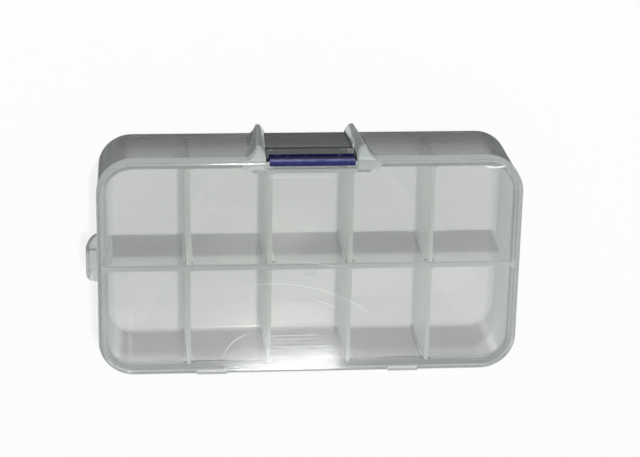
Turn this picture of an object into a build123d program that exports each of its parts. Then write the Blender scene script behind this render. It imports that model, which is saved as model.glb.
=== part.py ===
from build123d import *
import os

# A clear ten-compartment storage box lying flat: tray, hinged lid, snap latch and lift-out dividers.
# Millimetres. X runs along the long side, the latch is at -Y, the hinge at +Y, +Z is up.
# The origin is the middle of the underside of the tray.

# Overall sizes of the closed box, without the latch ears, hanging loop and hinge lugs.
box_length = 130.0
box_depth = 69.5
box_height = 30.0
corner_radius = 11.0

# Lid: a flat plate with a short skirt that laps over the rim of the tray.
lid_plate = 1.2
skirt_height = 4.6
skirt_wall = 1.1
lid_edge_round = 0.9
gate_radius = 2.0
gate_depth = 0.3
gate_nub_radius = 0.7
gate_nub_height = 0.2

# Tray: a floor, tapering outer walls and a thinner rim tongue that stands inside the skirt.
floor_thickness = 1.2
flush_step = 0.2
wall_taper = 0.7
tongue_wall = 1.0
tongue_root = 1.0
foot_chamfer = 0.5
cove_radius = 1.6
inner_taper = 0.8

# Named clearances.
lap_clearance = 0.2
lid_headroom = 0.3
slot_clearance = 0.12
pivot_clearance = 0.06
snap_clearance = 0.2
side_clearance = 0.3

# Fixed long partition and lift-out dividers in their guide ribs.
partition_wall = 1.3
divider_count = 4
divider_pitch = 24.8
divider_wall = 1.2
divider_gap_to_lid = 0.5
divider_end_gap = 0.47
divider_corner = 0.6
rib_width = 0.9
rib_depth = 0.9
rib_stop_below_rim = 2.0

# Latch bay in the middle of the front wall.
bay_half_width = 14.0
bay_block = 4.2
bay_depth = 2.5
bay_wall = 1.3
finger_gap = 4.6
bay_slope = 2.2
bay_corner = 1.0

# Ears on the lid and the fins below them on the tray, which shield the latch.
ear_reach = 3.6
ear_tip_inset = 1.9
ear_tip_width = 0.8
ear_flare = 3.4
ear_flank = 0.9
ear_nose_bulge = 0.4
ear_hollow = 0.65
ear_sink = 0.25
ear_below_top = 0.7
fin_foot_inset = 1.4

# Snap latch: a bar on two pivot pins with a plate and a hook.
latch_length = 26.0
latch_offset = -0.2
latch_axis_in = 1.1
latch_axis_below_top = 1.6
latch_bar_radius = 0.9
latch_plate = 0.75
latch_reach = 4.9
latch_hook_height = 1.2
latch_hook_depth = 0.25
latch_lip = 0.45
latch_lip_height = 1.4
latch_edge = 0.3
latch_pin_radius = 0.5
latch_pin_seat = 1.2
bead_half_length = 11.0
bead_above_hook = 0.4
bead_ramp = 0.5
bead_face = 0.4

# Hinge: two barrels on the lid with stub pins that turn in lugs on the tray.
hinge_spacing = 60.0
hinge_axis_out = 0.7
hinge_axis_below_shoulder = 1.8
barrel_radius = 1.1
barrel_length = 9.4
hinge_pin_radius = 0.7
hinge_pin_seat = 1.8
lug_width = 2.8
lug_radius = 1.5
lug_gusset = 5.0
hinge_pad_height = 1.9

# Hanging loop on the +X end: a strap that bows out of the wall.
loop_width = 10.4
loop_reach = 3.5
loop_height = 15.0
loop_strap = 1.1
loop_corner = 2.6
loop_below_shoulder = 0.6

# Worked out from the sizes above.
half_x = box_length / 2
half_y = box_depth / 2
shoulder_z = box_height - skirt_height
plate_z = box_height - lid_plate
tongue_top = plate_z - lid_headroom
tongue_out = skirt_wall + lap_clearance
inner_in = tongue_out + tongue_wall
divider_top = plate_z - divider_gap_to_lid
bay_face = bay_depth + lap_clearance
bay_inner = bay_face + bay_wall
pad_half_width = bay_half_width + bay_block + lap_clearance
latch_y = -half_y + latch_axis_in
latch_z = box_height - latch_axis_below_top
hook_bottom = latch_z - latch_reach
bay_floor_height = hook_bottom - finger_gap
hinge_y = half_y + hinge_axis_out
hinge_axis_height = shoulder_z - hinge_axis_below_shoulder
hinge_pad_face = hinge_y + hinge_axis_out - pivot_clearance


def rounded_sheet(inset, z, radius):
    """Rounded rectangle parallel to the outline of the box, moved in by inset."""
    outline = RectangleRounded(box_length - 2 * inset, box_depth - 2 * inset, radius)
    return Pos(0, 0, z) * outline


def block(x0, x1, y0, y1, z0, z1):
    """Box between two corners."""
    return Pos((x0 + x1) / 2, (y0 + y1) / 2, (z0 + z1) / 2) * Box(x1 - x0, y1 - y0, z1 - z0)


def prism_x(points, x0, x1):
    """Solid along X with a cross-section given as (y, z) points."""
    section = Plane.YZ * make_face(Polyline(*points, close=True))
    return Pos(x0, 0, 0) * extrude(section, x1 - x0, dir=(1, 0, 0))


def rod_x(y, z, radius, x0, x1):
    """Round rod along X."""
    return Pos((x0 + x1) / 2, y, z) * Rot(0, 90, 0) * Cylinder(radius, x1 - x0)


def divider_places():
    """X of each row of dividers, evenly spaced about the middle."""
    first = -divider_pitch * (divider_count - 1) / 2
    return [first + k * divider_pitch for k in range(divider_count)]


def row_ends(x, row):
    """Y of the two walls that hold a divider at x, in the front (-1) or back (+1) row."""
    if row < 0:
        wall_in = bay_inner if abs(x) < pad_half_width else inner_in
        return -half_y + wall_in, -partition_wall / 2
    return partition_wall / 2, half_y - inner_in


def ear_plan():
    """Plan of the ear at +X: a straight inner flank, a round nose and a hollow outer flank."""
    nose = bay_half_width + ear_tip_inset
    tip_end_x = nose + ear_tip_width
    foot_x = tip_end_x + ear_flare
    inner_corner = (bay_half_width, -half_y + skirt_wall)
    shoulder = (bay_half_width, -half_y - ear_flank)
    tip = (nose, -half_y - ear_reach)
    tip_end = (tip_end_x, -half_y - ear_reach)
    foot = (foot_x, -half_y + ear_sink)
    back = (foot_x, -half_y + skirt_wall)
    edges = [
        Line(inner_corner, shoulder),
        SagittaArc(shoulder, tip, -ear_nose_bulge),
        Line(tip, tip_end),
        SagittaArc(tip_end, foot, ear_hollow),
        Line(foot, back),
        Line(back, inner_corner),
    ]
    return make_face(edges)


def make_fin():
    """Fin under the ear at +X: the plan of the ear, drawn in towards its foot."""
    top = Pos(0, 0, shoulder_z) * ear_plan()
    lean = Vector(-fin_foot_inset, fin_foot_inset, -shoulder_z)
    return extrude(top, lean.length, dir=lean)


def both_sides(shape):
    """The shape and its mirror image across the middle of the box."""
    return [shape, shape.mirror(Plane.YZ)]


def make_cavity(row):
    """Inside of one row of compartments, narrowing towards a coved floor."""
    x_end = half_x - inner_in
    y_mid = partition_wall / 2
    y_out = half_y - inner_in
    sheet = Pos(0, row * (y_mid + y_out) / 2) * Rectangle(2 * x_end, y_out - y_mid)
    corners = sheet.vertices().group_by(Axis.Y)[-1 if row > 0 else 0]
    top = Pos(0, 0, box_height) * fillet(corners, corner_radius - inner_in)
    cavity = extrude(top, box_height - floor_thickness, dir=(0, 0, -1), taper=inner_taper)
    floor_edges = cavity.edges().group_by(Axis.Z)[0].sort_by(Axis.Y)
    outer_edges = floor_edges[1:] if row > 0 else floor_edges[:-1]
    return fillet(outer_edges, cove_radius)


def make_guides():
    """Pairs of ribs that hold the ends of each lift-out divider."""
    slot = divider_wall + 2 * slot_clearance
    top = tongue_top - rib_stop_below_rim
    ribs = []
    for x in divider_places():
        for row in (-1, 1):
            y0, y1 = row_ends(x, row)
            for side in (-1, 1):
                near = x + side * slot / 2
                far = near + side * rib_width
                low, high = min(near, far), max(near, far)
                ribs.append(block(low, high, y0 - tongue_wall / 2, y0 + rib_depth, floor_thickness / 2, top))
                ribs.append(block(low, high, y1 - rib_depth, y1 + partition_wall / 2, floor_thickness / 2, top))
    return ribs


def make_latch_bay(tray):
    """Set the front wall back behind the latch and leave the catch bead on it."""
    pad = block(-pad_half_width, pad_half_width, -half_y + inner_in / 2, -half_y + bay_inner,
                floor_thickness / 2, tongue_top)
    tray += fillet(pad.edges().filter_by(Axis.Z).group_by(Axis.Y)[-1], bay_corner)
    rim_gap = block(-pad_half_width, pad_half_width, -half_y - ear_reach, -half_y + bay_face,
                    shoulder_z, box_height)
    hollow = prism_x(
        [
            (-half_y - ear_reach, bay_floor_height - bay_slope),
            (-half_y + flush_step, bay_floor_height - bay_slope),
            (-half_y + bay_face, bay_floor_height),
            (-half_y + bay_face, box_height),
            (-half_y - ear_reach, box_height),
        ],
        -bay_half_width,
        bay_half_width,
    )
    tray = tray - rim_gap - hollow
    bead_root = -half_y + bay_face + bay_wall / 2
    bead_out = -half_y + bead_face_in()
    bead_low = hook_bottom + latch_hook_height + bead_above_hook
    bead = prism_x(
        [
            (bead_root, bead_low - bead_ramp),
            (bead_out, bead_low),
            (bead_out, bead_low + bead_face),
            (bead_root, bead_low + bead_face + 2 * bead_ramp),
        ],
        -bead_half_length,
        bead_half_length,
    )
    return tray + bead


def hook_tip_in():
    """How far the tip of the hook stands in from the front of the box."""
    return flush_step + latch_plate + latch_hook_depth


def bead_face_in():
    """How far the face of the catch bead stands in from the front of the box."""
    return hook_tip_in() + snap_clearance


def hinge_places():
    """X of the middle of each hinge barrel."""
    return [-hinge_spacing / 2, hinge_spacing / 2]


def make_lugs():
    """Two bored lugs on the back wall for each hinge barrel."""
    lugs = []
    inner = barrel_length / 2 + side_clearance / 2
    for x in hinge_places():
        for side in (-1, 1):
            x0 = x + side * inner
            x1 = x0 + side * lug_width
            low, high = min(x0, x1), max(x0, x1)
            arm = block(low, high, half_y - inner_in / 2, hinge_y, hinge_axis_height - lug_radius,
                        hinge_axis_height + lug_radius)
            gusset = prism_x(
                [
                    (half_y - inner_in / 2, hinge_axis_height - lug_gusset),
                    (half_y - inner_in / 2, hinge_axis_height),
                    (hinge_y, hinge_axis_height - lug_radius),
                ],
                low,
                high,
            )
            lug = arm + gusset + rod_x(hinge_y, hinge_axis_height, lug_radius, low, high)
            bore_end = x0 + side * (hinge_pin_seat + pivot_clearance)
            bore_low, bore_high = min(x0, bore_end), max(x0, bore_end)
            bore = rod_x(hinge_y, hinge_axis_height, hinge_pin_radius + pivot_clearance, bore_low, bore_high)
            lugs.append(lug - bore)
    return lugs


def make_loop():
    """Hanging loop: a strap bowed out of the end wall along a quarter ellipse, its hinge-side corner round."""
    top = shoulder_z - loop_below_shoulder
    wall_x = half_x - inner_in / 2
    reach = loop_reach + inner_in / 2
    strap = loop_bow(wall_x, top, reach, loop_height, loop_width)
    crown = strap.edges().filter_by(Axis.Y).sort_by(Axis.X)[-1]
    hollow = loop_bow(wall_x, top - loop_strap, reach - loop_strap, loop_height - 2 * loop_strap, 2 * loop_width)
    plan = block(wall_x, wall_x + reach, -loop_width / 2, loop_width / 2, 0, top)
    corner = plan.edges().filter_by(Axis.Z).group_by(Axis.X)[-1].sort_by(Axis.Y)[-1]
    return (fillet(crown, loop_strap / 2) - hollow) & fillet(corner, loop_corner)


def loop_bow(x, top, reach, height, width):
    """Quarter ellipse, flat at the top and running down to the wall, as a solid along Y."""
    full = extrude(Plane.XZ * Pos(x, top) * Ellipse(reach, height), width / 2, both=True)
    return full & block(x, x + 2 * reach, -width / 2, width / 2, top - 2 * height, top)


def make_tray():
    shoulder = rounded_sheet(flush_step, shoulder_z, corner_radius - flush_step)
    body = extrude(shoulder, shoulder_z, dir=(0, 0, -1), taper=wall_taper)
    body = chamfer(body.edges().group_by(Axis.Z)[0], foot_chamfer)
    tongue_low = shoulder_z - tongue_root
    tongue = extrude(rounded_sheet(tongue_out, tongue_low, corner_radius - tongue_out), tongue_top - tongue_low)
    tray = body + tongue
    for row in (-1, 1):
        tray -= make_cavity(row)
    partition_top = block(-half_x, half_x, -partition_wall, partition_wall, divider_top, box_height)
    inside = extrude(rounded_sheet(inner_in, divider_top, corner_radius - inner_in), box_height)
    tray -= partition_top & inside
    for fin in both_sides(make_fin()):
        tray += fin
    tray = make_latch_bay(tray)
    for x in hinge_places():
        room = barrel_radius + lap_clearance
        reach = barrel_length / 2 + side_clearance / 2
        tray -= rod_x(hinge_y, hinge_axis_height, room, x - reach, x + reach)
    for piece in make_lugs() + make_guides():
        tray += piece
    tray += make_loop()
    return tray


def make_lid():
    outer = extrude(rounded_sheet(0, shoulder_z, corner_radius), skirt_height)
    outer = fillet(outer.edges().group_by(Axis.Z)[-1], lid_edge_round)
    inside = extrude(rounded_sheet(skirt_wall, shoulder_z, corner_radius - skirt_wall), plate_z - shoulder_z)
    lid = outer - inside
    pad = block(bay_half_width, bay_half_width + bay_block, -half_y + skirt_wall / 2, -half_y + bay_depth,
                shoulder_z, plate_z + lid_plate / 2)
    ear = extrude(Pos(0, 0, shoulder_z) * ear_plan(), skirt_height - ear_below_top)
    for piece in both_sides(pad) + both_sides(ear):
        lid += piece
    lid -= block(-bay_half_width, bay_half_width, -half_y - ear_reach, -half_y + bay_depth, 0, 2 * box_height)
    for x in hinge_places():
        lid += make_hinge_arm(x)
    for side in (-1, 1):
        end = latch_offset + side * (latch_length / 2 - latch_pin_seat)
        root = side * (bay_half_width + bay_block / 2)
        lid += rod_x(latch_y, latch_z, latch_pin_radius, min(end, root), max(end, root))
    gate = Pos(0, 0, box_height) * Cylinder(gate_radius, 2 * gate_depth)
    nub = Pos(0, 0, box_height - gate_depth) * Cylinder(gate_nub_radius, 2 * gate_nub_height)
    return lid - gate + nub


def make_hinge_arm(x):
    """Barrel, its stub pins and the pad that joins it to the skirt."""
    reach = barrel_length / 2
    skirt_mid = half_y - skirt_wall / 2
    pad = prism_x(
        [
            (half_y, hinge_axis_height),
            (half_y, shoulder_z),
            (skirt_mid, shoulder_z),
            (skirt_mid, shoulder_z + hinge_pad_height + hinge_pad_face - skirt_mid),
            (hinge_pad_face, shoulder_z + hinge_pad_height),
            (hinge_pad_face, hinge_axis_height),
        ],
        x - reach,
        x + reach,
    )
    barrel = rod_x(hinge_y, hinge_axis_height, barrel_radius, x - reach, x + reach)
    pin_reach = reach + side_clearance / 2 + hinge_pin_seat
    pin = rod_x(hinge_y, hinge_axis_height, hinge_pin_radius, x - pin_reach, x + pin_reach)
    return pad + barrel + pin


def make_latch():
    """Coloured latch bar: a round back on the pivots, a plate and a hook under the bead."""
    front = -half_y + flush_step
    back = front + latch_plate
    tip = -half_y + hook_tip_in()
    low = hook_bottom
    x0 = latch_offset - latch_length / 2
    x1 = latch_offset + latch_length / 2
    profile = prism_x(
        [
            (front, latch_z),
            (front, low + latch_lip_height),
            (front - latch_lip, low + latch_edge),
            (front - latch_lip + latch_edge, low),
            (tip - latch_edge, low),
            (tip, low + latch_edge),
            (tip, low + latch_hook_height / 2),
            (back, low + latch_hook_height),
            (back, latch_z - latch_bar_radius - latch_edge),
            (latch_y, latch_z - latch_bar_radius),
            (latch_y, latch_z),
        ],
        x0,
        x1,
    )
    latch = profile + rod_x(latch_y, latch_z, latch_bar_radius, x0, x1)
    ends = latch.faces().sort_by(Axis.X)
    for face in (ends[0], ends[-1]):
        rim = [edge for edge in face.edges() if edge.center().Z > low + latch_lip_height]
        latch = chamfer(rim, latch_edge)
    depth = latch_pin_seat + side_clearance / 2
    bore = latch_pin_radius + pivot_clearance
    latch -= rod_x(latch_y, latch_z, bore, x0, x0 + depth)
    latch -= rod_x(latch_y, latch_z, bore, x1 - depth, x1)
    return latch


def make_divider(x, row):
    """Lift-out plate that stands in its guide ribs, its lower corners round to clear the cove."""
    y0, y1 = row_ends(x, row)
    low = y0 + divider_end_gap
    high = y1 - divider_end_gap
    plate = block(x - divider_wall / 2, x + divider_wall / 2, low, high, floor_thickness, divider_top)
    edges = plate.edges().filter_by(Axis.X)
    plate = fillet(edges.group_by(Axis.Z)[0], cove_radius + slot_clearance)
    edges = plate.edges().filter_by(Axis.X)
    return fillet(edges.group_by(Axis.Z)[-1], divider_corner)


os.makedirs("parts", exist_ok=True)
export_step(make_tray(), "parts/tray.step")
export_step(make_lid(), "parts/lid.step")
export_step(make_latch(), "parts/latch.step")
for row, row_name in ((-1, "front"), (1, "back")):
    for number, x in enumerate(divider_places(), start=1):
        export_step(make_divider(x, row), f"parts/divider_{row_name}_{number}.step")
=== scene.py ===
"""Clear ten-compartment storage box with a navy snap latch, dressed for a studio picture.

The frame is in metres: X runs along the box, the latch is at -Y, the hinge at +Y, +Z is up, and the
origin is the middle of the tray's underside.
"""
import logging
import math
from dataclasses import dataclass
from enum import Enum
from typing import Any, Optional, Union

import bpy
import numpy as np
from mathutils import Matrix, Vector

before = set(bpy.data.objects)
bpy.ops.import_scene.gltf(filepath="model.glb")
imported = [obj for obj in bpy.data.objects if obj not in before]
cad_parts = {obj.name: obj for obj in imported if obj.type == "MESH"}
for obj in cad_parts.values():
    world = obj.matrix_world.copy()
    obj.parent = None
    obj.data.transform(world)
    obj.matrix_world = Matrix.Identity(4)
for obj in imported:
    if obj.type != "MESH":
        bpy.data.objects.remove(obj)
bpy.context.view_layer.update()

# Rounded outline of the closed box, in millimetres.
HALF_LENGTH = 65.0
HALF_DEPTH = 34.75
CORNER_RADIUS = 11.0

# The two ends of a stretch along one axis, and what an input of a node takes: a plain value, or a socket
# or node to link.
Stretch = tuple[float, float]
Source = Union[float, tuple[float, ...], bpy.types.NodeSocket, bpy.types.Node]

# Stretches of the box, in millimetres. The lengths are in X and count from the middle towards either
# end, the walls are in Y, and the last two are in Z. One that starts at -1 has its full strength at the
# middle of the box or at its floor.
WHOLE_LENGTH: Stretch = (-1.0, 70.0)
BAY_LENGTH: Stretch = (-1.0, 13.9)
EAR_LENGTH: Stretch = (13.9, 21.0)
FRONT_WALL: Stretch = (-34.9, -31.0)
BAY_WALL: Stretch = (-34.9, -31.4)
BELOW_LID: Stretch = (-1.0, 25.2)
LID_HEIGHT: Stretch = (25.0, 31.0)

# Sockets of a Mix node that mixes colours, by number, because its hidden sockets bear the same names.
MIX_A = 6
MIX_B = 7
MIX_RESULT = 2

log = logging.getLogger("storage_box")


class Ray(Enum):
    """Kinds of ray that a material can answer differently, by the name of the Light Path output."""

    CAMERA = "Is Camera Ray"
    SHADOW = "Is Shadow Ray"
    DIFFUSE = "Is Diffuse Ray"
    GLOSSY = "Is Glossy Ray"
    TRANSMISSION = "Is Transmission Ray"


def metres(millimetres: float) -> float:
    """Length in metres of a length in millimetres."""
    return millimetres / 1000


def linear(colour_hex: str) -> tuple[float, float, float, float]:
    """Linear RGBA of an sRGB hex colour.

    Args:
        colour_hex: Six hex digits, two each for red, green and blue.

    Returns:
        Red, green, blue and an alpha of 1, by the sRGB curve: a straight foot, then a power of 2.4.
    """
    channels = []
    for start in (0, 2, 4):
        value = int(colour_hex[start:start + 2], 16) / 255
        channels.append(value / 12.92 if value <= 0.04045 else ((value + 0.055) / 1.055) ** 2.4)
    return (*channels, 1.0)


def add_node(
    tree: bpy.types.NodeTree,
    kind: str,
    inputs: Optional[dict[Union[int, str], Source]] = None,
    **settings: Any,
) -> bpy.types.Node:
    """Adds a node with its settings and links.

    Args:
        tree: Tree that the node goes into.
        kind: Blender's name for the kind of node.
        inputs: Input names or numbers, each with a plain value, an output socket to link, or a node, which
            stands for its first output.
        settings: Properties of the node itself.

    Returns:
        The new node.
    """
    node = tree.nodes.new(kind)
    for name, value in settings.items():
        setattr(node, name, value)
    for name, value in (inputs or {}).items():
        if isinstance(value, bpy.types.Node):
            value = value.outputs[0]
        if isinstance(value, bpy.types.NodeSocket):
            tree.links.new(value, node.inputs[name])
        else:
            node.inputs[name].default_value = value
    return node


def empty_material(name: str) -> tuple[bpy.types.Material, bpy.types.NodeTree]:
    """New material with an empty node tree.

    Args:
        name: Plain name of the real material.

    Returns:
        The material and its tree.
    """
    material = bpy.data.materials.new(name)
    material.use_nodes = True
    material.node_tree.nodes.clear()
    return material, material.node_tree


def window(
    tree: bpy.types.NodeTree, value: Source, low: float, high: float, blend: float
) -> bpy.types.Node:
    """Share that is 1 between two places on one axis and falls to 0 over the blend at each end.

    Args:
        tree: Tree that the share goes into.
        value: Socket or node that gives the place, in metres.
        low: Lower end in millimetres.
        high: Upper end in millimetres.
        blend: Length of each fall in millimetres, half of it outside the window.

    Returns:
        The node with the share, a smooth step of the distance to the window's middle.
    """
    half = metres((high - low) / 2)
    middle = metres((low + high) / 2)
    off = add_node(tree, "ShaderNodeMath", {0: value, 1: middle}, operation="SUBTRACT")
    away = add_node(tree, "ShaderNodeMath", {0: off}, operation="ABSOLUTE")
    ends = {"From Min": half + metres(blend) / 2, "From Max": half - metres(blend) / 2}
    return add_node(tree, "ShaderNodeMapRange", {"Value": away, **ends}, interpolation_type="SMOOTHSTEP")


@dataclass(frozen=True)
class Region:
    """Block of space, in millimetres, that is the same on both sides of the middle of the box.

    blend is the length over which it fades in at its sides, and fade the same at its top and bottom.
    """

    x: Stretch
    y: Stretch
    z: Stretch
    blend: float = 0.6
    fade: float = 0.6

    def share(self, tree: bpy.types.NodeTree, place: bpy.types.NodeSocket) -> bpy.types.Node:
        """Share that is 1 in the block and falls to 0 at its faces: the product of a window on each axis.

        Args:
            tree: Tree that the share goes into.
            place: Object coordinates.

        Returns:
            The node with the share.
        """
        parts = add_node(tree, "ShaderNodeSeparateXYZ", {0: place})
        across = add_node(tree, "ShaderNodeMath", {0: parts.outputs["X"]}, operation="ABSOLUTE")
        along_x = window(tree, across, *self.x, self.blend)
        along_y = window(tree, parts.outputs["Y"], *self.y, self.blend)
        along_z = window(tree, parts.outputs["Z"], *self.z, self.fade)
        flat = add_node(tree, "ShaderNodeMath", {0: along_x, 1: along_y}, operation="MULTIPLY")
        return add_node(tree, "ShaderNodeMath", {0: flat, 1: along_z}, operation="MULTIPLY")


@dataclass(frozen=True)
class Rim:
    """Band that follows the rounded outline of the box, in millimetres inwards from it."""

    inset: Stretch
    z: Stretch
    blend: float = 0.4
    fade: float = 0.4

    def share(self, tree: bpy.types.NodeTree, place: bpy.types.NodeSocket) -> bpy.types.Node:
        """Share that is 1 in the band and falls to 0 at its edges.

        A point's inset is the corner radius less its distance from the rectangle that the corners' middles
        span, which is the length of what is left of |x| and |y| past that rectangle. Height never adds to
        that length, because the rectangle counts as a metre high, far above any point of the box.

        Args:
            tree: Tree that the share goes into.
            place: Object coordinates.

        Returns:
            The node with the share.
        """
        parts = add_node(tree, "ShaderNodeSeparateXYZ", {0: place})
        far_above = 1.0
        middles = (metres(HALF_LENGTH - CORNER_RADIUS), metres(HALF_DEPTH - CORNER_RADIUS), far_above)
        folded = add_node(tree, "ShaderNodeVectorMath", {0: place}, operation="ABSOLUTE")
        past = add_node(tree, "ShaderNodeVectorMath", {0: folded, 1: middles}, operation="SUBTRACT")
        outside = add_node(
            tree, "ShaderNodeVectorMath", {0: past, 1: (0.0, 0.0, 0.0)}, operation="MAXIMUM"
        )
        distance = add_node(tree, "ShaderNodeVectorMath", {0: outside}, operation="LENGTH")
        inset = add_node(
            tree,
            "ShaderNodeMath",
            {0: metres(CORNER_RADIUS), 1: distance.outputs["Value"]},
            operation="SUBTRACT",
        )
        band = window(tree, inset, *self.inset, self.blend)
        level = window(tree, parts.outputs["Z"], *self.z, self.fade)
        return add_node(tree, "ShaderNodeMath", {0: band, 1: level}, operation="MULTIPLY")


@dataclass(frozen=True)
class HazeAndPaintedShade:
    """Clouding of the plastic in one region, or painted shade laid over it there.

    along is the share added where the surface is seen along itself, and throughout the share added
    however it is seen, as in a thick block. Where regions overlap, the grey of the later haze shows.
    """

    region: Union[Region, Rim]
    grey: str
    along: float = 0.0
    throughout: float = 0.0


@dataclass(frozen=True)
class ScratchAndGlint:
    """One white line on top of the lid, a thin arc seen from above: a hair scratch in some places, a
    painted glint or highlight in others.

    The arc's circle is given by its middle and radius in millimetres, and the line is the part of it
    that lies within a round patch. A real hair scratch is too fine to show, so it is drawn wider and
    fainter than it is.
    """

    middle: tuple[float, float]
    radius: float
    patch: tuple[float, float]
    patch_radius: float
    strength: float = 0.5
    width: float = 0.34
    lowest: float = 29.4

    def share(self, tree: bpy.types.NodeTree, place: bpy.types.NodeSocket) -> bpy.types.Node:
        """Share of white on the line: near the circle, in the patch and on the upper face.

        Args:
            tree: Tree that the share goes into.
            place: Object coordinates.

        Returns:
            The node with the share.
        """
        flat = add_node(tree, "ShaderNodeVectorMath", {0: place, 1: (1.0, 1.0, 0.0)}, operation="MULTIPLY")
        reach = {}
        for name, point in (("circle", self.middle), ("patch", self.patch)):
            spot = (metres(point[0]), metres(point[1]), 0.0)
            measure = add_node(tree, "ShaderNodeVectorMath", {0: flat, 1: spot}, operation="DISTANCE")
            reach[name] = measure.outputs["Value"]
        edge = self.width / 4
        line = window(tree, reach["circle"], self.radius - edge, self.radius + edge, 2 * edge)
        near = window(tree, reach["patch"], -self.patch_radius, self.patch_radius, self.patch_radius / 2)
        parts = add_node(tree, "ShaderNodeSeparateXYZ", {0: place})
        height = {0: parts.outputs["Z"], 1: metres(self.lowest)}
        upper = add_node(tree, "ShaderNodeMath", height, operation="GREATER_THAN")
        here = add_node(tree, "ShaderNodeMath", {0: line, 1: near}, operation="MULTIPLY")
        seen = add_node(tree, "ShaderNodeMath", {0: here, 1: upper}, operation="MULTIPLY")
        return add_node(tree, "ShaderNodeMath", {0: seen, 1: self.strength}, operation="MULTIPLY")


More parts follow.
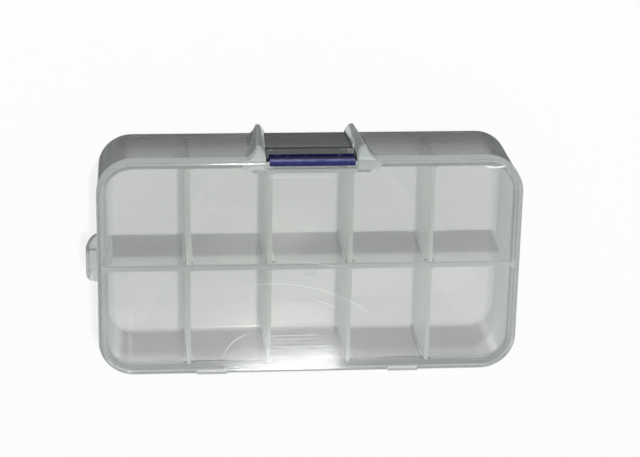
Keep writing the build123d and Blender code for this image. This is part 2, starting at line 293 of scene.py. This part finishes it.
@dataclass(frozen=True)
class MilkyPolypropylene:
    """Natural polypropylene, injection moulded and polished.

    The eye sees a glossy plastic with milk in it, faintly green-grey along a wall. Face on, it lets
    shapes through under a thin white veil. Along a wall the look passes through more plastic, so the milk
    takes over. Its hazes add milk in some places and painted shade in others, and its white line marks
    are hair scratches in some places and painted glints in others. Lengths are in millimetres. The orange
    peel is drawn coarser than a real one, so that it shows.
    """

    name: str
    # How late the look along the surface sets in, as powers of its turn, for the eye and for lamp light.
    turned_power: float = 2.0
    low_angle_power: float = 3.0
    # What the eye sees: the clear share's tint face on and seen along itself.
    tint: str = "F0F0EF"
    side_tint: str = "E6E9E6"
    # What lamp light keeps: face on, at a low angle, and after it has bounced off something matt.
    lamp_tint: str = "F1F1F0"
    lamp_side_tint: str = "8C9090"
    soft_tint: str = "F8F9F8"
    # The milk: its colour, its share face on and seen along itself, and how much light glows through it.
    milk: str = "E9EBE8"
    milk_share: float = 0.09
    milk_share_side: float = 0.75
    glow_through: float = 0.35
    # Hazes and painted shade, which stop growing once the surface is turned as far as the limit.
    hazes_and_painted_shade: tuple[HazeAndPaintedShade, ...] = ()
    haze_and_shade_limit: float = 0.5
    # The surface: its gloss, scuffs, waves of sink and peel, then the flow marks, the hair scratch lines
    # and the painted glints.
    ior: float = 1.49
    roughness: float = 0.06
    scuff_size: float = 9.0
    scuff_roughness: float = 0.05
    # Values of the scuffs' noise between which the surface gets rougher.
    scuffed: tuple[float, float] = (0.5, 0.75)
    wave_length: float = 14.0
    wave_height: float = 0.007
    peel_length: float = 1.1
    peel_height: float = 0.0006
    flow_length: float = 22.0
    flow_share: float = 0.05
    scratches_and_glints: tuple[ScratchAndGlint, ...] = ()

    def material(self) -> bpy.types.Material:
        """Material of this finish.

        Returns:
            A clear plastic that refracts what the eye sees, and passes lamp light straight through with
            a loss that grows where the light meets the surface at a low angle.
        """
        material, tree = empty_material(self.name)
        place = add_node(tree, "ShaderNodeTexCoord").outputs["Object"]
        facing = add_node(tree, "ShaderNodeLayerWeight", {"Blend": 0.5}).outputs["Facing"]
        turned = add_node(tree, "ShaderNodeMath", {0: facing, 1: self.turned_power}, operation="POWER")
        clear = self.clear(tree, place, turned)
        share, colour = self.clouding_and_painted_shade(tree, place, turned)
        # The milk's colour carries the hazes' greys, the painted shade among them
        near = add_node(tree, "ShaderNodeBsdfDiffuse", {"Color": colour})
        far = add_node(tree, "ShaderNodeBsdfTranslucent", {"Color": colour})
        milk = add_node(tree, "ShaderNodeMixShader", {0: self.glow_through, 1: near, 2: far})
        seen = add_node(tree, "ShaderNodeMixShader", {0: share, 1: clear, 2: milk})
        if self.scratches_and_glints:
            seen = self.with_scratches_and_glints(tree, place, seen)
        path = add_node(tree, "ShaderNodeLightPath")
        rays = {0: path.outputs[Ray.SHADOW.value], 1: path.outputs[Ray.DIFFUSE.value]}
        lamp_ray = add_node(tree, "ShaderNodeMath", rays, operation="MAXIMUM")
        low_angle = add_node(
            tree, "ShaderNodeMath", {0: facing, 1: self.low_angle_power}, operation="POWER"
        )
        hard = add_node(
            tree,
            "ShaderNodeMix",
            {0: low_angle, MIX_A: linear(self.lamp_tint), MIX_B: linear(self.lamp_side_tint)},
            data_type="RGBA",
        )
        passed = add_node(
            tree,
            "ShaderNodeMix",
            {
                0: path.outputs[Ray.DIFFUSE.value],
                MIX_A: hard.outputs[MIX_RESULT],
                MIX_B: linear(self.soft_tint),
            },
            data_type="RGBA",
        )
        straight = add_node(tree, "ShaderNodeBsdfTransparent", {"Color": passed.outputs[MIX_RESULT]})
        whole = add_node(tree, "ShaderNodeMixShader", {0: lamp_ray, 1: seen, 2: straight})
        add_node(tree, "ShaderNodeOutputMaterial", {"Surface": whole})
        return material

    def clear(
        self, tree: bpy.types.NodeTree, place: bpy.types.NodeSocket, turned: bpy.types.Node
    ) -> bpy.types.Node:
        """Clear share of the plastic, tinted where it is seen along itself.

        Its surface has long soft waves of sink, a fine orange peel and scuffed patches that are less
        glossy.

        Args:
            tree: Tree that the shader goes into.
            place: Object coordinates.
            turned: 0 face on, 1 seen along the surface.

        Returns:
            The shader node.
        """
        waves = add_node(
            tree,
            "ShaderNodeTexNoise",
            {"Vector": place, "Scale": 1 / metres(self.wave_length), "Detail": 1.0},
        )
        peel = add_node(
            tree,
            "ShaderNodeTexNoise",
            {"Vector": place, "Scale": 1 / metres(self.peel_length), "Detail": 2.0},
        )
        fine = add_node(
            tree, "ShaderNodeMath", {0: peel, 1: metres(self.peel_height)}, operation="MULTIPLY"
        )
        height = add_node(
            tree,
            "ShaderNodeMath",
            {0: waves, 1: metres(self.wave_height), 2: fine},
            operation="MULTIPLY_ADD",
        )
        bump = add_node(tree, "ShaderNodeBump", {"Height": height, "Strength": 1.0, "Distance": 1.0})
        scuffs = add_node(
            tree,
            "ShaderNodeTexNoise",
            {"Vector": place, "Scale": 1 / metres(self.scuff_size), "Detail": 6.0, "Roughness": 0.7},
        )
        rough = add_node(
            tree,
            "ShaderNodeMapRange",
            {
                "Value": scuffs,
                "From Min": self.scuffed[0],
                "From Max": self.scuffed[1],
                "To Min": self.roughness,
                "To Max": self.roughness + self.scuff_roughness,
            },
        )
        colour = add_node(
            tree,
            "ShaderNodeMix",
            {0: turned, MIX_A: linear(self.tint), MIX_B: linear(self.side_tint)},
            data_type="RGBA",
        )
        return add_node(
            tree,
            "ShaderNodeBsdfPrincipled",
            {
                "Base Color": colour.outputs[MIX_RESULT],
                "Roughness": rough,
                "IOR": self.ior,
                "Transmission Weight": 1.0,
                "Normal": bump,
            },
        )

    def clouding_and_painted_shade(
        self, tree: bpy.types.NodeTree, place: bpy.types.NodeSocket, turned: bpy.types.Node
    ) -> tuple[bpy.types.Node, Source]:
        """Share and colour of the milk, which grows as the look's path in the plastic gets longer, with
        the hazes and painted shade laid over it.

        Faint flow marks of the moulding vary the share.

        Args:
            tree: Tree that the share goes into.
            place: Object coordinates.
            turned: 0 face on, 1 seen along the surface.

        Returns:
            The node with the share, and the colour or the socket that gives it.
        """
        flow = add_node(
            tree,
            "ShaderNodeTexNoise",
            {"Vector": place, "Scale": 1 / metres(self.flow_length), "Detail": 3.0, "Distortion": 1.2},
        )
        base = add_node(
            tree,
            "ShaderNodeMath",
            {0: flow, 1: self.flow_share, 2: self.milk_share - self.flow_share / 2},
            operation="MULTIPLY_ADD",
        )
        long_path = add_node(tree, "ShaderNodeMath", {0: turned, 1: turned}, operation="MULTIPLY")
        growth = self.milk_share_side - self.milk_share
        share = add_node(
            tree, "ShaderNodeMath", {0: long_path, 1: growth, 2: base}, operation="MULTIPLY_ADD"
        )
        capped = add_node(tree, "ShaderNodeMath", {0: turned, 1: self.haze_and_shade_limit}, operation="MINIMUM")
        colour: Source = linear(self.milk)
        # Each haze adds milk or painted shade: its share grows and the colour turns to its grey
        for haze_and_shade in self.hazes_and_painted_shade:
            here = haze_and_shade.region.share(tree, place)
            strength = add_node(
                tree,
                "ShaderNodeMath",
                {0: capped, 1: haze_and_shade.along, 2: haze_and_shade.throughout},
                operation="MULTIPLY_ADD",
            )
            share = add_node(
                tree, "ShaderNodeMath", {0: here, 1: strength, 2: share}, operation="MULTIPLY_ADD"
            )
            greyer = add_node(
                tree,
                "ShaderNodeMix",
                {0: here, MIX_A: colour, MIX_B: linear(haze_and_shade.grey)},
                data_type="RGBA",
            )
            colour = greyer.outputs[MIX_RESULT]
        return add_node(tree, "ShaderNodeMath", {0: share, 1: 1.0}, operation="MINIMUM"), colour

    def with_scratches_and_glints(
        self, tree: bpy.types.NodeTree, place: bpy.types.NodeSocket, seen: bpy.types.Node
    ) -> bpy.types.Node:
        """Surface with its hair scratch lines, whose torn edges are matt and white, and its painted glints
        and highlights, drawn matt and white too.

        Args:
            tree: Tree that the shader goes into.
            place: Object coordinates.
            seen: Shader of the surface without scratches.

        Returns:
            The shader node.
        """
        share: Source = 0.0
        for line_mark in self.scratches_and_glints:
            line = line_mark.share(tree, place)
            share = add_node(tree, "ShaderNodeMath", {0: line, 1: share}, operation="MAXIMUM")
        # Matt white for the torn edges of the scratch lines and for the painted glints and highlights
        white_marks = add_node(tree, "ShaderNodeBsdfDiffuse", {"Color": linear("FFFFFF")})
        return add_node(tree, "ShaderNodeMixShader", {0: share, 1: seen, 2: white_marks})


@dataclass(frozen=True)
class NavyPolypropylene:
    """Polypropylene coloured through in navy, injection moulded, with a soft gloss.

    The eye sees a nearly black blue on the front, where painted shade darkens it, more violet on the
    round back where light falls, and a pale painted highlight line where the bar bulges out, with faint
    paler rubbed patches here and there. Lengths are in millimetres. The mottle and the peel are drawn
    coarser than real ones, so that they show.
    """

    name: str
    colour: str = "2B3060"
    # Painted shade on the front face of the latch
    painted_shade: str = "10143A"
    # Pale colour of the painted highlight line and of the faint rubs
    painted_highlight_and_rub: str = "8084B0"
    painted_highlight_line: Region = Region((-1.0, 14.0), (-36.0, -34.2), (27.3, 28.9), blend=0.4, fade=0.8)
    # Values of the mottle between which the painted highlight line grows from its least share to the full
    # one, and between which a faint rub sets in elsewhere, up to its own share.
    highlight_onset: tuple[float, float] = (0.35, 0.6)
    highlight_least: float = 0.45
    faint_onset: tuple[float, float] = (0.55, 0.8)
    faint_rub: float = 0.3
    highlight_and_rub_roughness: float = 0.3
    # Where the painted shade lies: the front face under the bar
    shaded_front: Region = Region((-1.0, 14.0), (-37.0, -34.4), (20.0, 27.2), blend=0.3, fade=0.8)
    roughness: float = 0.25
    ior: float = 1.49
    reflection: float = 0.012
    mottle_size: float = 2.5
    peel_size: float = 0.4
    peel_height: float = 0.005

    def material(self) -> bpy.types.Material:
        """Material of this finish.

        Returns:
            An opaque glossy plastic with a fine mottle, faint rubbed patches, painted shade on the front
            face and a painted highlight line.
        """
        material, tree = empty_material(self.name)
        place = add_node(tree, "ShaderNodeTexCoord").outputs["Object"]
        mottle = add_node(
            tree,
            "ShaderNodeTexNoise",
            {"Vector": place, "Scale": 1 / metres(self.mottle_size), "Detail": 5.0, "Roughness": 0.65},
        )
        # Painted shade: the front face is darkened
        shaded = add_node(
            tree,
            "ShaderNodeMix",
            {
                0: self.shaded_front.share(tree, place),
                MIX_A: linear(self.colour),
                MIX_B: linear(self.painted_shade),
            },
            data_type="RGBA",
        )
        patchy = add_node(
            tree,
            "ShaderNodeMapRange",
            {
                "Value": mottle,
                "From Min": self.highlight_onset[0],
                "From Max": self.highlight_onset[1],
                "To Min": self.highlight_least,
                "To Max": 1.0,
            },
        )
        # Painted highlight: a pale line along the bulge of the bar
        line = add_node(
            tree, "ShaderNodeMath", {0: self.painted_highlight_line.share(tree, place), 1: patchy}, operation="MULTIPLY"
        )
        faint = add_node(
            tree,
            "ShaderNodeMapRange",
            {
                "Value": mottle,
                "From Min": self.faint_onset[0],
                "From Max": self.faint_onset[1],
                "To Min": 0.0,
                "To Max": self.faint_rub,
            },
        )
        highlight_and_rub = add_node(tree, "ShaderNodeMath", {0: line, 1: faint}, operation="MAXIMUM")
        colour = add_node(
            tree,
            "ShaderNodeMix",
            {0: highlight_and_rub, MIX_A: shaded.outputs[MIX_RESULT], MIX_B: linear(self.painted_highlight_and_rub)},
            data_type="RGBA",
        )
        peel = add_node(
            tree,
            "ShaderNodeTexNoise",
            {"Vector": place, "Scale": 1 / metres(self.peel_size), "Detail": 2.0},
        )
        bump = add_node(
            tree,
            "ShaderNodeBump",
            {"Height": peel, "Strength": 1.0, "Distance": metres(self.peel_height)},
        )
        rough = add_node(
            tree,
            "ShaderNodeMath",
            {0: highlight_and_rub, 1: self.highlight_and_rub_roughness, 2: self.roughness},
            operation="MULTIPLY_ADD",
        )
        plastic = add_node(
            tree,
            "ShaderNodeBsdfPrincipled",
            {
                "Base Color": colour.outputs[MIX_RESULT],
                "Roughness": rough,
                "IOR": self.ior,
                "Specular IOR Level": self.reflection,
                "Normal": bump,
            },
        )
        add_node(tree, "ShaderNodeOutputMaterial", {"Surface": plastic})
        return material


@dataclass(frozen=True)
class PaperSweep:
    """White paper under the box: plain matt white that keeps a soft shadow."""

    name: str
    colour: str = "F6F6F6"
    white_seen: float = 0.75
    glow_through: float = 0.12

    def material(self) -> bpy.types.Material:
        """Material of this finish.

        Returns:
            Matt white, partly even white where the eye sees it, with a little even white added where the
            eye sees it through plastic.
        """
        material, tree = empty_material(self.name)
        matt = add_node(tree, "ShaderNodeBsdfDiffuse", {"Color": linear(self.colour)})
        white = add_node(tree, "ShaderNodeEmission", {"Color": linear("FFFFFF"), "Strength": 1.0})
        path = add_node(tree, "ShaderNodeLightPath")
        direct = add_node(
            tree,
            "ShaderNodeMath",
            {0: path.outputs[Ray.CAMERA.value], 1: self.white_seen},
            operation="MULTIPLY",
        )
        seen = add_node(tree, "ShaderNodeMixShader", {0: direct, 1: matt, 2: white})
        rays = {0: path.outputs[Ray.GLOSSY.value], 1: path.outputs[Ray.TRANSMISSION.value]}
        through = add_node(tree, "ShaderNodeMath", rays, operation="MAXIMUM")
        strength = add_node(
            tree, "ShaderNodeMath", {0: through, 1: self.glow_through}, operation="MULTIPLY"
        )
        glow = add_node(tree, "ShaderNodeEmission", {"Color": linear("FFFFFF"), "Strength": strength})
        both = add_node(tree, "ShaderNodeAddShader", {0: seen, 1: glow})
        add_node(tree, "ShaderNodeOutputMaterial", {"Surface": both})
        return material


def dress_node(node: str, material: bpy.types.Material) -> None:
    """Gives a CAD node one material all over.

    Args:
        node: Name of the CAD node.
        material: Its new material.
    """
    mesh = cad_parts[node].data
    mesh.materials.clear()
    mesh.materials.append(material)
    log.info("%s wears %s", node, material.name)


@dataclass
class ClearMouldings:
    """Tray, lid and dividers, all of milky polypropylene.

    The hazes are the places that look darker or whiter in the photo than one even plastic does here, and
    their greys are matched to the photo region by region. The hazes on the hinge wall, the partition's
    lower part, the front wall, the latch bay and the fins are painted shade, and some white lines on the
    lid are painted glints and highlights.
    """

    tray_finish: MilkyPolypropylene = MilkyPolypropylene(
        "moulded natural polypropylene, tray",
        hazes_and_painted_shade=(
            # End walls, and the rim that stands inside the lid's skirt
            HazeAndPaintedShade(Region((60.4, 64.4), (-31.0, 31.0), (-1.0, 25.0), blend=1.2), "D8DCDA", throughout=0.3),
            HazeAndPaintedShade(Rim((1.0, 2.6), (24.9, 29.0)), "B0B4B2", throughout=0.4),
            # Hinge wall: painted shade of its shadow behind it, dark where the wall is seen along itself
            HazeAndPaintedShade(Region(WHOLE_LENGTH, (31.0, 35.2), BELOW_LID, blend=1.5), "2A2C2C", along=0.62),
            # Long partition: painted shade on its lower part, for its shadow behind it, and its top edge
            HazeAndPaintedShade(Region((-1.0, 60.4), (-1.4, 1.4), (-20.0, 19.5), fade=2.0), "2A2C2C", along=0.18),
            HazeAndPaintedShade(Region(WHOLE_LENGTH, (-1.2, 1.2), (27.0, 29.0), blend=0.3), "C8CCCA", throughout=0.8),
            # Front wall: painted shade, dark grey where it is seen along itself
            HazeAndPaintedShade(Region(WHOLE_LENGTH, FRONT_WALL, BELOW_LID, blend=1.5), "4A4C4B", along=0.87),
            # Front half of the hanging loop
            HazeAndPaintedShade(Region((65.3, 70.0), (-12.0, -4.8), (8.0, 29.0), blend=0.8), "7A7C7C", throughout=0.35),
            # Painted shade on the foot of the front wall, and on its round corners
            HazeAndPaintedShade(Region(WHOLE_LENGTH, FRONT_WALL, (-20.0, 13.0), fade=8.0), "343636", along=0.05),
            HazeAndPaintedShade(Region((58.0, 70.0), (-36.0, -26.0), BELOW_LID, blend=4.0), "8E908F", along=0.4),
            # Painted shade in the latch bay under the latch, and once more in its upper part
            HazeAndPaintedShade(
                Region(BAY_LENGTH, BAY_WALL, (-1.0, 21.5), blend=1.0, fade=2.0),
                "303232",
                throughout=0.14,
            ),
            HazeAndPaintedShade(Region(BAY_LENGTH, BAY_WALL, (16.0, 21.5), fade=2.0), "242628", throughout=0.38),
            # Painted shade on the fins below the lid's ears
            HazeAndPaintedShade(Region(EAR_LENGTH, (-39.0, -34.8), (-1.0, 25.3), blend=0.5), "9A9C9B", throughout=0.62),
        ),
    )
    lid_finish: MilkyPolypropylene = MilkyPolypropylene(
        "moulded natural polypropylene, lid",
        hazes_and_painted_shade=(
            # Skirt, the two ears, and the edge behind the latch
            HazeAndPaintedShade(Rim((-1.0, 1.25), (25.0, 29.5)), "C8CCCA", throughout=0.5),
            HazeAndPaintedShade(Region(EAR_LENGTH, (-39.0, -32.0), LID_HEIGHT, blend=0.4), "C6CCC8", throughout=0.5),
            HazeAndPaintedShade(Region(BAY_LENGTH, (-34.4, -31.0), LID_HEIGHT, blend=0.4), "C6CCC8", throughout=0.5),
        ),
        scratches_and_glints=(
            # Fine hair lines scratched here and there
            ScratchAndGlint((12.0, 55.7), 50.9, (-0.1, 9.6), 19.0, strength=0.42),
            ScratchAndGlint((5.1, 34.0), 24.5, (-4.8, 11.8), 4.4, strength=0.5),
            ScratchAndGlint((15.7, 32.7), 11.7, (23.0, 24.6), 5.2, strength=0.6),
            # A white line from the gate in the middle of the lid
            ScratchAndGlint((28.9, 196.0), 200.0, (-3.0, -1.4), 5.6, strength=0.5),
            # Painted highlight: a thin bright line across the lid near its latch-side edge
            ScratchAndGlint((6.6, 270.2), 300.0, (3.4, -29.8), 10.5, strength=0.35),
            # Two more faint lines scratched
            ScratchAndGlint((40.0, 60.0), 58.0, (3.0, 14.0), 9.0, strength=0.12),
            ScratchAndGlint((-60.0, 30.0), 49.0, (-14.0, 8.0), 8.0, strength=0.14),
            # Painted reflections: three pale streaks near the hinge, and a painted glint in a corner
            ScratchAndGlint((3.0, 322.2), 300.0, (4.5, 22.2), 8.0, strength=0.35, width=0.6),
            ScratchAndGlint((3.0, 323.4), 300.0, (4.5, 23.4), 8.5, strength=0.35, width=0.5),
            ScratchAndGlint((3.0, 326.0), 300.0, (2.5, 26.0), 10.0, strength=0.4, width=0.9),
            ScratchAndGlint((-55.9, -44.2), 12.0, (-55.9, -32.2), 3.0, strength=0.9, width=0.9),
        ),
    )
    divider_finish: MilkyPolypropylene = MilkyPolypropylene(
        "moulded natural polypropylene, divider",
        roughness=0.16,
        milk="F8FAF7",
        milk_share_side=0.95,
        glow_through=0.5,
        lamp_side_tint="4A4E4E",
        hazes_and_painted_shade=(
            # Top edge
            HazeAndPaintedShade(Region(WHOLE_LENGTH, (-34.0, 34.0), (27.2, 29.0), fade=0.3), "E4E8E5", throughout=0.5),
        ),
    )

    def dress(self) -> None:
        """Gives each clear moulding its finish."""
        divider = self.divider_finish.material()
        dress_node("tray", self.tray_finish.material())
        dress_node("lid", self.lid_finish.material())
        for node in sorted(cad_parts):
            if node.startswith("divider_"):
                dress_node(node, divider)


@dataclass
class Latch:
    """Navy snap latch in the middle of the front."""

    finish: NavyPolypropylene = NavyPolypropylene("moulded navy polypropylene")

    def dress(self) -> None:
        """Gives the latch its finish."""
        dress_node("latch", self.finish.material())


@dataclass(frozen=True)
class Panel:
    """Bright panel whose reflection the camera sees round one point of the lid.

    mirror_point, distance, width and depth are in metres, and brightness is the panel's radiance.
    """

    name: str
    mirror_point: tuple[float, float, float]
    distance: float
    width: float
    depth: float
    brightness: float


@dataclass
class Studio:
    """White paper floor, one small lamp over the latch side, panels at the back and a pale room.

    floor_size, key_distance and key_size are in metres. key_from is the direction that the lamp stands in.
    key_radiance is that of a white floor under the lamp, and room_strength that of the room.
    """

    floor_size: float = 6.0
    key_from: tuple[float, float, float] = (-0.045, -0.235, 1.0)
    key_distance: float = 1.4
    key_size: float = 0.04
    key_radiance: float = 0.56
    room_strength: float = 0.45
    panels: tuple[Panel, ...] = (
        Panel("softbox", (0.0075, 0.0352, 0.030), 1.0, 0.084, 0.025, 16.0),
        Panel("dim panel", (0.0040, 0.0190, 0.030), 1.0, 0.360, 0.082, 0.8),
    )
    paper: PaperSweep = PaperSweep("matt white paper")

    def build(self, camera_place: Vector) -> None:
        """Builds floor, room and lamps.

        Args:
            camera_place: Where the camera stands, which the panels' reflections are aimed at.
        """
        self.build_floor()
        self.build_room()
        self.build_key()
        for panel in self.panels:
            self.build_panel(panel, camera_place)

    def build_floor(self) -> None:
        """Flat square of paper at z = 0, corners at plus and minus half its size."""
        half = self.floor_size / 2
        corners = half * np.array([[-1, -1, 0], [1, -1, 0], [1, 1, 0], [-1, 1, 0]], dtype=float)
        mesh = bpy.data.meshes.new("floor")
        mesh.from_pydata(corners.tolist(), [], [(0, 1, 2, 3)])
        mesh.materials.append(self.paper.material())
        floor = bpy.data.objects.new("floor", mesh)
        bpy.context.scene.collection.objects.link(floor)
        log.info("floor wears %s", self.paper.name)

    def build_room(self) -> None:
        """Even pale room: a world of one colour."""
        world = bpy.data.worlds.new("pale room")
        bpy.context.scene.world = world
        world.use_nodes = True
        tree = world.node_tree
        tree.nodes.clear()
        sky = add_node(
            tree, "ShaderNodeBackground", {"Color": linear("FAFCFF"), "Strength": self.room_strength}
        )
        add_node(tree, "ShaderNodeOutputWorld", {"Surface": sky.outputs[0]})

    def add_area_lamp(
        self, name: str, place: Vector, aim: Vector, size: tuple[float, float], watts: float
    ) -> bpy.types.Object:
        """Rectangular lamp that faces a point.

        Args:
            name: Name of the lamp.
            place: Its middle.
            aim: The point that it faces.
            size: Its width and depth in metres.
            watts: Its power.

        Returns:
            The lamp object.
        """
        data = bpy.data.lights.new(name, "AREA")
        data.shape = "RECTANGLE"
        data.size, data.size_y = size
        data.energy = watts
        lamp = bpy.data.objects.new(name, data)
        turn = (aim - place).to_track_quat("-Z", "Y").to_matrix().to_4x4()
        lamp.matrix_world = Matrix.Translation(place) @ turn
        bpy.context.scene.collection.objects.link(lamp)
        log.info("%s gives %.2f W", name, watts)
        return lamp

    def build_key(self) -> None:
        """Main lamp: its power gives a white floor the radiance key_radiance.

        A lamp of power P and area A has radiance P / (pi A) and lights the floor below it with
        P cos / (pi distance squared), so a white floor's radiance is that over pi.
        """
        direction = Vector(self.key_from).normalized()
        watts = self.key_radiance * math.pi ** 2 * self.key_distance ** 2 / direction.z
        place = direction * self.key_distance
        self.add_area_lamp("key lamp", place, Vector((0, 0, 0)), (self.key_size, self.key_size), watts)

    def build_panel(self, panel: Panel, camera_place: Vector) -> None:
        """Panel at the mirror image of the camera's direction, so that the lid reflects it.

        Args:
            panel: The panel's place and size.
            camera_place: Where the camera stands.
        """
        mirror_point = Vector(panel.mirror_point)
        to_camera = (camera_place - mirror_point).normalized()
        to_panel = Vector((-to_camera.x, -to_camera.y, to_camera.z))
        place = mirror_point + to_panel * panel.distance
        watts = panel.brightness * math.pi * panel.width * panel.depth
        self.add_area_lamp(panel.name, place, mirror_point, (panel.width, panel.depth), watts)


@dataclass
class PhotoCamera:
    """Camera that stands on the latch side, high over the box, rolled half a turn.

    place, nearest and furthest are in metres, right and forward are directions, and lens and sensor_width
    are in millimetres. Place, directions and lens were fitted to lines of the box in the photo.
    """

    place: tuple[float, float, float] = (0.0560, -0.24035, 0.62821)
    right: tuple[float, float, float] = (-0.99572, -0.01941, 0.09031)
    forward: tuple[float, float, float] = (-0.09133, 0.35361, -0.93092)
    lens: float = 118.68
    sensor_width: float = 36.0
    nearest: float = 0.01
    furthest: float = 50.0

    def build(self) -> bpy.types.Object:
        """Adds the camera and makes it the scene's own.

        Returns:
            The camera object.
        """
        data = bpy.data.cameras.new("photo camera")
        data.sensor_fit = "HORIZONTAL"
        data.sensor_width = self.sensor_width
        data.lens = self.lens
        data.clip_start = self.nearest
        data.clip_end = self.furthest
        forward = Vector(self.forward).normalized()
        up = Vector(self.right).cross(forward).normalized()
        right = forward.cross(up)
        turn = Matrix((right, up, -forward)).transposed()
        camera = bpy.data.objects.new("photo camera", data)
        camera.matrix_world = Matrix.Translation(Vector(self.place)) @ turn.to_4x4()
        bpy.context.scene.collection.objects.link(camera)
        bpy.context.scene.camera = camera
        log.info("camera stands %.3f m high", camera.location.z)
        return camera


def allow_deep_glass(bounces: int = 24) -> None:
    """Lets light pass through many clear walls in a row.

    Args:
        bounces: How many surfaces a ray may pass.
    """
    cycles = bpy.context.scene.cycles
    cycles.max_bounces = bounces
    cycles.transmission_bounces = bounces
    cycles.transparent_max_bounces = 2 * bounces


def main() -> None:
    """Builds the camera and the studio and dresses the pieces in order."""
    logging.basicConfig(level=logging.INFO, format="%(name)s: %(message)s")
    bpy.context.scene.view_settings.view_transform = "Standard"
    allow_deep_glass()
    camera = PhotoCamera().build()
    Studio().build(camera.location.copy())
    ClearMouldings().dress()
    Latch().dress()


if __name__ == "__main__":
    main()
